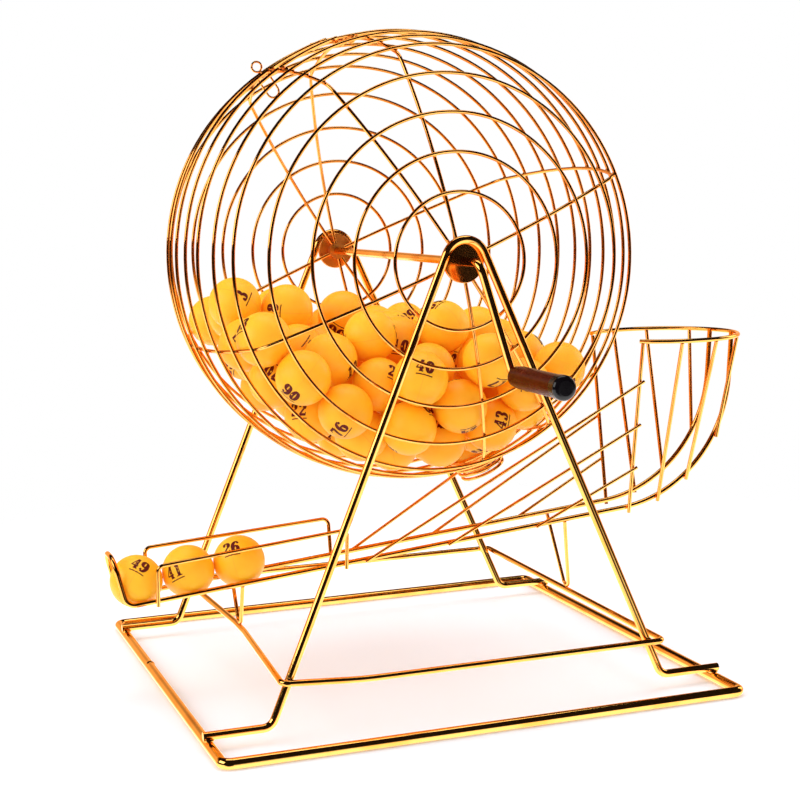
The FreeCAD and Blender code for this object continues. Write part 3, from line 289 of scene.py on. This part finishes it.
cage_gold = gold_plate("plated_cage_wire", (0.95, 0.46, 0.11), (0.88, 0.34, 0.06), 0.06, 700.0)
SIDE_RINGS = ("front_barrel", "rear_barrel", "front_face", "rear_face")
ring_names = [name for name in nodes if name.startswith(SIDE_RINGS)] + ["cage_ring_centre"]
rib_names = [name for name in nodes if name.startswith("cage_rib")]
dress(ring_names + rib_names + ["outlet_coil"], cage_gold)
dress(("crank_rod",), heavy_gold)

AXLE_HEIGHT = 0.3245
RIB_ANGLES = (22.5, 101.5, 123.5, 202.5, 281.5, 303.5)
# The ribs' curve has its centre beyond the axle along the barrel, and beyond the cage's
# middle across a dished face, so both distances are negative.
BARREL_CURVE_CENTRE = -0.1376
DISH_CURVE_CENTRE = -0.1828
CAGE_WIRE_RADIUS = 0.0013
SPOT_BEAD = (0.0019, 0.0019, 0.0009)


def spot_welds():
    """Places and half axes of the beads where the rings cross the ribs.

    A ring's middle is at its radius and its plane; square to the cage's skin, the bead lies
    one wire's radius inside that, and it is widest along the ring and along the rib.
    """
    places, axes = [], []
    for name in ring_names:
        low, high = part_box(name)
        radius = (high.x - low.x) / 2 - CAGE_WIRE_RADIUS
        y = (low.y + high.y) / 2
        if "face" in name:
            skin = Vector((radius, abs(y) - DISH_CURVE_CENTRE, 0)).normalized()
            skin.y = math.copysign(skin.y, y)
        else:
            skin = Vector((radius - BARREL_CURVE_CENTRE, y, 0)).normalized()
        for angle in RIB_ANGLES:
            turn = math.radians(angle)
            out = np.array([skin.x * math.cos(turn), skin.y, skin.x * math.sin(turn)])
            round_axle = np.array([-math.sin(turn), 0.0, math.cos(turn)])
            middle = np.array([radius * math.cos(turn), y, AXLE_HEIGHT + radius * math.sin(turn)])
            places.append(middle - out * CAGE_WIRE_RADIUS)
            axes.append(np.stack([round_axle, np.cross(round_axle, out), out])
                        * np.array(SPOT_BEAD)[:, None])
    return places, axes


weld_beads("cage_spot_welds", *spot_welds(), cage_gold, "drum")


# ---------------------------------------------------------------- door and latch
# The door is three bars over two side wires, hooked round one rib by two thinner arms.
# The latch is a figure-eight clip of 1.6 mm wire that slides over the door's tips.

dress(("door_side_wires", "door_bars", "door_hinge_arms", "door_latch"), cage_gold)


# ---------------------------------------------------------------- grip
# A collar and a body of dark red-brown moulded plastic turn on the crank's pin.  A plated
# push nut holds them there, and a black domed cap closes the end.


def moulded_plastic(name, colour, worn, roughness, gloss):
    """Moulded plastic, a little duller and paler where hands have rubbed it."""
    material, start = new_material(name)
    place = start.node("ShaderNodeTexCoord", output="Object")
    rub = start.node("ShaderNodeTexNoise", {}, {"Vector": place, "Scale": 90.0, "Detail": 4.0})
    peel = start.node("ShaderNodeTexNoise", {}, {"Vector": place, "Scale": 900.0, "Detail": 1.0})
    bump = start.node("ShaderNodeBump", {}, {"Height": peel, "Strength": 0.06, "Distance": 0.0003})
    surface_shader(start, {
        "Base Color": rub.between(0.45, 0.75).mixed((*colour, 1.0), (*worn, 1.0)),
        "Roughness": rub * 0.10 + roughness,
        "Specular IOR Level": gloss,
        "Normal": bump,
    })
    return material


grip_brown = moulded_plastic("grip_plastic", (0.055, 0.0030, 0.0008), (0.085, 0.0055, 0.0012),
                             roughness=0.20, gloss=0.09)
cap_black = moulded_plastic("cap_plastic", (0.003, 0.002, 0.003), (0.005, 0.004, 0.005),
                            roughness=0.10, gloss=0.40)
dress(("grip_collar", "grip_body"), grip_brown)
dress(("grip_end_cap",), cap_black)
dress(("pin_retainer",), disc_gold)


# ---------------------------------------------------------------- balls
# Ninety hollow balls of yellow celluloid, 40 mm across, moulded in two halves.  Each has
# its number printed twice, on opposite sides, in heavy serif figures over a short rule.

BALL_COUNT = 90
BALL_RADIUS = 0.020
BALL_ROWS = 22
BALL_COLUMNS = 40
# The seam's half width in shares of the radius: its full depth, and where it has run out.
SEAM_FULL = 0.006
SEAM_EDGE = 0.020


def ball_plastic():
    """Satin celluloid: its tone differs a little from ball to ball, and its seam just shows."""
    material, start = new_material("ball_celluloid")
    place = start.node("ShaderNodeTexCoord", output="Object")
    tone = start.node("ShaderNodeAttribute", {"attribute_name": "tone"}, output="Fac")
    seam = start.node("ShaderNodeAttribute", {"attribute_name": "from_seam"}, output="Fac")
    cloud = start.node("ShaderNodeTexNoise", {}, {"Vector": place, "Scale": 60.0, "Detail": 3.0})
    fine = start.node("ShaderNodeTexNoise", {}, {"Vector": place, "Scale": 1500.0, "Detail": 2.0})
    from_seam = start.node("ShaderNodeMath", {"operation": "ABSOLUTE"}, {0: seam})
    line = 1.0 - from_seam.between(SEAM_FULL, SEAM_EDGE)
    shade = (cloud * 0.5 + tone * 0.5).between(0.2, 0.8)
    colour = shade.mixed((0.98, 0.45, 0.010, 1.0), (1.0, 0.54, 0.016, 1.0))
    relief = {"Height": fine * 0.25 + line * 0.4, "Strength": 0.10, "Distance": 0.0003}
    bump = start.node("ShaderNodeBump", {}, relief)
    surface_shader(start, {
        "Base Color": line.mixed(colour, (0.97, 0.45, 0.018, 1.0)),
        "Roughness": cloud * 0.12 + 0.38,
        "Specular IOR Level": 0.35,
        "Subsurface Weight": 0.30,
        "Subsurface Radius": (0.010, 0.003, 0.0005),
        "Subsurface Scale": 1.0,
        # Painted glow: this faint orange emission stands in for light that shines through the thin
        # shells and bounces between the balls.
        "Emission Color": (1.0, 0.16, 0.003, 1.0),
        "Emission Strength": 0.08,
        "Normal": bump,
    })
    return material


def number_ink():
    """Dark red-brown printing ink, a little thin in places."""
    material, start = new_material("number_ink")
    place = start.node("ShaderNodeTexCoord", output="Object")
    thin = start.node("ShaderNodeTexNoise", {}, {"Vector": place, "Scale": 800.0, "Detail": 2.0})
    shade = thin.between(0.5, 0.8)
    surface_shader(start, {
        "Base Color": shade.mixed((0.11, 0.004, 0.002, 1.0), (0.18, 0.012, 0.004, 1.0)),
        "Roughness": thin * 0.1 + 0.50,
        "Specular IOR Level": 0.25,
    })
    return material


def mesh_points(name):
    """A CAD node's points as an array."""
    points = np.zeros(len(nodes[name].data.vertices) * 3, np.float32)
    nodes[name].data.vertices.foreach_get("co", points)
    return points.reshape(-1, 3).astype(float)


def ball_centres(name, count):
    """The middles of a node's balls, whose points follow each other ball by ball."""
    points = mesh_points(name).reshape(count, -1, 3)
    return (points.min(axis=1) + points.max(axis=1)) / 2


def facing(azimuth, elevation, roll):
    """Columns right, up and out of a print that faces a direction, from angles in degrees.

    Azimuth 0 is -Y and 90 is +X; roll turns the print against the clock, seen from outside.
    """
    turn, lift, twist = (math.radians(angle) for angle in (azimuth, elevation, roll))
    out = np.array([math.sin(turn) * math.cos(lift), -math.cos(turn) * math.cos(lift),
                    math.sin(lift)])
    level = np.array([math.cos(turn), math.sin(turn), 0.0])
    upright = np.cross(out, level)
    right = level * math.cos(twist) + upright * math.sin(twist)
    return np.stack([right, np.cross(out, right), out], axis=1)


TURN_SEED = 90


def loose_turns(count):
    """Turns of balls that lie as they fell: three seeded angles for each."""
    draws = np.random.default_rng(TURN_SEED)
    return [facing(draws.uniform(-180, 180), math.degrees(math.asin(draws.uniform(-1, 1))),
                   draws.uniform(-180, 180)) for _ in range(count)]


# Figures are drawn in shares of their height, in a box from (0, 0) to its far corner.
FIGURE_CORNER = (0.62, 1.0)
BOW_STEPS = 14
BAR_STEPS = 5
THICK_STROKE = 0.28
THIN_STROKE = 0.10
DROP_REACH = 0.05
DROP_WIDTH = 0.098


def bow(centre_x, centre_y, reach_x, reach_y, start, end):
    """A stroke along an ellipse; like a broad pen's, it is thick where it runs upright.

    Width = thin + (thick - thin) * how much of the run is upright.
    """
    angle = np.radians(np.linspace(start, end, BOW_STEPS))
    line = np.stack([centre_x + reach_x * np.cos(angle), centre_y + reach_y * np.sin(angle)],
                    axis=1)
    run = np.stack([-reach_x * np.sin(angle), reach_y * np.cos(angle)], axis=1)
    run /= np.linalg.norm(run, axis=1)[:, None]
    return line, run, THIN_STROKE + (THICK_STROKE - THIN_STROKE) * np.abs(run[:, 1])


def bar(start_x, start_y, end_x, end_y, width):
    """A straight stroke of one width."""
    reach = np.array([end_x - start_x, end_y - start_y])
    line = np.array([start_x, start_y]) + np.linspace(0, 1, BAR_STEPS)[:, None] * reach
    run = (line[-1:] - line[:1]) / np.linalg.norm(line[-1] - line[0])
    return line, np.repeat(run, BAR_STEPS, axis=0), np.full(BAR_STEPS, width)


def drop(centre_x, centre_y):
    """The round end of a stroke: a small closed bow, so wide that it fills itself."""
    line, run, width = bow(centre_x, centre_y, DROP_REACH, DROP_REACH, 0, 360)
    return line, run, np.full_like(width, DROP_WIDTH)


def half_turned(strokes):
    """A figure turned by half a turn in its box, as 9 is to 6."""
    return [(np.array(FIGURE_CORNER) - line, -run, width) for line, run, width in strokes]


SIX = [bow(0.40, 0.48, 0.30, 0.48, 75, 190), bow(0.32, 0.29, 0.20, 0.25, 0, 360), drop(0.49, 0.84)]
FIGURES = {
    "0": [bow(0.31, 0.5, 0.20, 0.45, 0, 360)],
    "1": [bar(0.33, 0.02, 0.33, 0.98, 0.24), bar(0.34, 0.93, 0.13, 0.80, 0.09),
          bar(0.10, 0.04, 0.56, 0.04, 0.08)],
    "2": [bow(0.29, 0.70, 0.20, 0.25, 160, -35), bar(0.46, 0.56, 0.10, 0.10, 0.13),
          bar(0.06, 0.10, 0.56, 0.10, 0.19), bar(0.54, 0.05, 0.57, 0.28, 0.07), drop(0.14, 0.74)],
    "3": [bow(0.28, 0.75, 0.18, 0.20, 150, -90), bow(0.27, 0.28, 0.21, 0.24, 90, -150),
          drop(0.14, 0.80), drop(0.13, 0.20)],
    "4": [bar(0.40, 0.97, 0.05, 0.29, 0.085), bar(0.02, 0.28, 0.60, 0.28, 0.095),
          bar(0.41, 0.02, 0.41, 0.98, 0.24), bar(0.25, 0.04, 0.59, 0.04, 0.08)],
    "5": [bar(0.13, 0.89, 0.52, 0.92, 0.18), bar(0.14, 0.95, 0.12, 0.50, 0.08),
          bow(0.27, 0.31, 0.22, 0.26, 130, -150), drop(0.12, 0.22)],
    "6": SIX,
    "7": [bar(0.07, 0.89, 0.56, 0.89, 0.19), bar(0.07, 0.96, 0.06, 0.70, 0.07),
          bar(0.51, 0.86, 0.25, 0.03, 0.21)],
    "8": [bow(0.31, 0.75, 0.16, 0.19, 0, 360), bow(0.31, 0.28, 0.19, 0.24, 0, 360)],
    "9": half_turned(SIX),
}

FIGURE_HEIGHT = 0.0100
FIGURE_PITCH = 0.0072
RULE_REACH = 0.0066
RULE_DROP = 0.0068
RULE_WIDTH = 0.0008
RULE = bar(-RULE_REACH, -RULE_DROP, RULE_REACH, -RULE_DROP, RULE_WIDTH)
INK_PROUD = 0.00005
INK_SUNK = 0.0001


def number_strokes(number):
    """The strokes of a number and its rule, flat, in metres about the print's middle."""
    digits = str(number)
    strokes = [RULE]
    for place, digit in enumerate(digits):
        left = (place - len(digits) / 2) * FIGURE_PITCH
        for line, run, width in FIGURES[digit]:
            moved = line * FIGURE_HEIGHT + np.array([left, -FIGURE_HEIGHT / 2])
            strokes.append((moved, run, width * FIGURE_HEIGHT))
    return strokes


def printed(number, centre, turn):
    """Points and faces of one printed number, wrapped onto a ball.

    A flat point (x, y) lies at longitude x / radius and latitude y / radius about the print's
    own up and out.  Each stroke is a flat bar: sunk and proud edges on its left and right.
    """
    points = []
    faces = []
    count = 0
    for line, run, width in number_strokes(number):
        side = np.stack([-run[:, 1], run[:, 0]], axis=1) * (width / 2)[:, None]
        flat = np.stack([line + side, line + side, line - side, line - side], axis=1)
        radius = BALL_RADIUS + np.array([-INK_SUNK, INK_PROUD, INK_PROUD, -INK_SUNK])[None, :]
        longitude, latitude = flat[..., 0] / BALL_RADIUS, flat[..., 1] / BALL_RADIUS
        local = np.stack([
            radius * np.cos(latitude) * np.sin(longitude),
            radius * np.sin(latitude),
            radius * np.cos(latitude) * np.cos(longitude),
        ], axis=-1)
        points.append((local @ turn.T + centre).reshape(-1, 3))
        faces += [[corner + count for corner in face[::-1]] for face in tube_faces(len(line), 4)]
        count += len(line) * 4
    return np.concatenate(points), faces


celluloid = ball_plastic()
ink = number_ink()
globe = globe_points(BALL_ROWS, BALL_COLUMNS)
TONE_SEED = 7
# Half a turn about a print's own upright, to the opposite side of the ball.
OTHER_SIDE = np.diag([-1.0, 1.0, -1.0])


def balls(name, centres, turns, numbers, body, cad_names):
    """A group of balls that replaces CAD nodes, and their numbers, printed on both sides.

    A point of a ball = its centre + its turn applied to a unit direction * the radius.
    """
    points = np.stack([globe @ turn.T * BALL_RADIUS + centre
                       for centre, turn in zip(centres, turns)])
    faces = repeated(tube_faces(BALL_ROWS, BALL_COLUMNS), len(centres), len(globe))
    group = solid(name, points, faces, celluloid, body)
    tones = np.random.default_rng(TONE_SEED).uniform(0, 1, len(centres))
    for attribute, values in (("tone", np.repeat(tones, len(globe))),
                              ("from_seam", np.tile(globe[:, 0], len(centres)))):
        group.data.attributes.new(attribute, "FLOAT", "POINT").data.foreach_set("value", values)
    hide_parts(*cad_names)
    ink_points = []
    ink_faces = []
    count = 0
    for centre, turn, number in zip(centres, turns, numbers):
        for side in (turn, turn @ OTHER_SIDE):
            marks, mark_faces = printed(number, centre, side)
            ink_points.append(marks)
            ink_faces += [[corner + count for corner in face] for face in mark_faces]
            count += len(marks)
    solid(name + "_numbers", np.concatenate(ink_points), ink_faces, ink, body,
          smooth=False)


# Each drawn ball's node, its number, and how the number is turned.
DRAWN = (("drawn_ball_1", 49, (8, 49, -45)), ("drawn_ball_2", 41, (-45, 12, 28)),
         ("drawn_ball_3", 26, (-37, 45, 19)))
for cad_name, number, direction in DRAWN:
    balls(cad_name + "_printed", ball_centres(cad_name, 1), [facing(*direction)], [number],
          "drawn_balls", [cad_name])
WAITING_NUMBER = 73
WAITING_DIRECTION = (30, -40, 10)
balls("waiting_ball_printed", ball_centres("waiting_ball", 1), [facing(*WAITING_DIRECTION)],
      [WAITING_NUMBER], "drum", ["waiting_ball"])

# Balls of the heap whose numbers face the front: where each lies, its number, and how the
# number is turned.  The last two numbers are free choices, as the waiting ball's is.
HEAP_FRONT = (
    ((-0.087, 0.000, 0.286), 28, (-50, 1, 85)),
    ((-0.036, 0.020, 0.278), 56, (-41, -34, 141)),
    ((-0.008, -0.029, 0.259), 10, (-12, -4, -10)),
    ((-0.106, 0.057, 0.247), 29, (-70, -23, 50)),
    ((-0.113, -0.055, 0.239), 70, (-23, 24, 150)),
    ((-0.103, -0.093, 0.244), 90, (-47, -28, -50)),
    ((-0.072, -0.094, 0.218), 76, (-35, -34, 50)),
    ((0.051, -0.029, 0.235), 50, (-57, 27, 170)),
    ((0.034, -0.111, 0.250), 17, (6, -60, 160)),
)
HEAP_COUNT = 86
NUMBER_SEED = 3
heap_centres = ball_centres("drum_balls", HEAP_COUNT)
heap_turns = loose_turns(HEAP_COUNT)
used = {number for _, number, _ in DRAWN + HEAP_FRONT} | {WAITING_NUMBER}
spare = [number for number in range(1, BALL_COUNT + 1) if number not in used]
spare = [int(number) for number in np.random.default_rng(NUMBER_SEED).permutation(spare)]
# A ball's number is 0 until it has one.
heap_numbers = [0] * HEAP_COUNT
for place, number, direction in HEAP_FRONT:
    nearest = int(np.argmin(np.linalg.norm(heap_centres - np.array(place), axis=1)))
    heap_numbers[nearest] = number
    heap_turns[nearest] = facing(*direction)
heap_numbers = [number or spare.pop() for number in heap_numbers]
balls("heap_balls", heap_centres, heap_turns, heap_numbers, "root", ["drum_balls"])


# ---------------------------------------------------------------- floor, light and camera
# A plain pale floor that fades into an even white surround.  The side that the camera
# stands on is dark, as a studio is behind its camera, so that the bright wire shows a
# dark core.

FLOOR_SIZE = 6.0
FLOOR_DROP = 0.0002
FLOOR_FADE_START = 0.36
FLOOR_FADE_END = 0.80


def pale_floor():
    """The floor: matt, nearly white, with the object's shadow kept, and faded far out."""
    material, start = new_material("floor_paper")
    place = start.node("ShaderNodeTexCoord", output="Object")
    fibre = start.node("ShaderNodeTexNoise", {}, {"Vector": place, "Scale": 3.0})
    colour = fibre.between(0.3, 0.7).mixed((0.91, 0.94, 1.0, 1.0), (0.94, 0.96, 1.0, 1.0))
    away = start.node("ShaderNodeVectorMath", {"operation": "LENGTH"}, {0: place}, output="Value")
    surface_shader(start, {
        "Base Color": colour,
        "Roughness": 0.6,
        "Specular IOR Level": 0.1,
        "Alpha": 1.0 - away.between(FLOOR_FADE_START, FLOOR_FADE_END),
    })
    return material


mesh = bpy.data.meshes.new("floor")
half = FLOOR_SIZE / 2
mesh.from_pydata([(-half, -half, 0), (half, -half, 0), (half, half, 0), (-half, half, 0)], [],
                 [(0, 1, 2, 3)])
mesh.materials.append(pale_floor())
floor = bpy.data.objects.new("floor", mesh)
floor.location.z = -FLOOR_DROP
# The wire mirrors the world's bright floor instead of this one.
floor.visible_glossy = False
bpy.context.scene.collection.objects.link(floor)

CAMERA_PLACE = Vector((-0.42810, -1.21528, 0.37530))
CAMERA_TURN = math.radians(-19.544)
CAMERA_PITCH = math.radians(7.2875)
CAMERA_ROLL = math.radians(-1.4293)
CAMERA_LENS = 73.96
CAMERA_SENSOR = 36.0
# The level direction from the camera to the object.
AWAY = (0.33, 0.94, 0.0)


def studio_world():
    """White all round for the eye, and a studio room for what the wire mirrors.

    The room has a bright floor, except towards the camera, and a warm wall behind the
    object; over the wall and behind the camera it is dark.
    """
    world = bpy.data.worlds.new("studio")
    bpy.context.scene.world = world
    world.use_nodes = True
    world.node_tree.nodes.clear()
    start = Signal(world.node_tree)
    direction = start.node("ShaderNodeTexCoord", output="Generated")
    height = start.node("ShaderNodeSeparateXYZ", {}, {"Vector": direction}, output="Z")
    behind = start.node("ShaderNodeVectorMath", {"operation": "DOT_PRODUCT"},
                        {0: direction, 1: AWAY}, output="Value")
    downwards = (0.0 - height).between(0.12, 0.30) * behind.between(-0.88, -0.62)
    wall = behind.between(0.05, 0.55) * (1.0 - height.between(0.20, 0.50))
    mirrored = wall.mixed((0.010, 0.006, 0.005, 1.0), (1.1, 0.68, 0.40, 1.0))
    mirrored = downwards.mixed(mirrored, (1.9, 1.9, 1.9, 1.0))
    seen = start.node("ShaderNodeLightPath", output="Is Camera Ray")
    glossy = start.node("ShaderNodeLightPath", output="Is Glossy Ray")
    through = start.node("ShaderNodeLightPath", output="Is Transmission Ray")
    colour = glossy.mixed((1.00, 1.00, 1.02, 1.0), mirrored)
    colour = seen.maths("MAXIMUM", seen, through).mixed(colour, (1.0, 1.0, 1.0, 1.0))
    shader = start.node("ShaderNodeBackground", {}, {"Color": colour, "Strength": 1.0})
    start.node("ShaderNodeOutputWorld", {}, {"Surface": shader})


def softbox(name, place, target, width, height, power, colour):
    """A rectangular soft lamp that points at a target."""
    light = bpy.data.lights.new(name, "AREA")
    light.shape = "RECTANGLE"
    light.size, light.size_y = width, height
    light.energy = power
    light.color = colour
    lamp = bpy.data.objects.new(name, light)
    lamp.location = place
    lamp.rotation_euler = (Vector(target) - Vector(place)).to_track_quat("-Z", "Y").to_euler()
    bpy.context.scene.collection.objects.link(lamp)


studio_world()
MIDDLE = (0.0, 0.0, 0.2)
softbox("key", (-1.9, -0.15, 1.05), MIDDLE, 1.7, 1.1, 17.0, (1.0, 0.99, 0.96))
softbox("side", (1.8, 0.3, 0.9), MIDDLE, 0.7, 1.1, 5.0, (1.0, 0.97, 0.93))
softbox("top", (0.2, 0.3, 2.1), MIDDLE, 1.6, 0.8, 9.0, (1.0, 1.0, 1.0))

camera = bpy.data.objects.new("camera", bpy.data.cameras.new("camera"))
camera.data.lens = CAMERA_LENS
camera.data.sensor_width = CAMERA_SENSOR
forward = Vector((-math.sin(CAMERA_TURN) * math.cos(CAMERA_PITCH),
                  math.cos(CAMERA_TURN) * math.cos(CAMERA_PITCH), -math.sin(CAMERA_PITCH)))
level = Vector((math.cos(CAMERA_TURN), math.sin(CAMERA_TURN), 0))
upright = level.cross(forward)
right = level * math.cos(CAMERA_ROLL) + upright * math.sin(CAMERA_ROLL)
up = upright * math.cos(CAMERA_ROLL) - level * math.sin(CAMERA_ROLL)
turn = Matrix((right, up, -forward)).transposed()
camera.matrix_world = Matrix.Translation(CAMERA_PLACE) @ turn.to_4x4()
bpy.context.scene.collection.objects.link(camera)
bpy.context.scene.camera = camera
bpy.context.scene.view_settings.view_transform = "Standard"
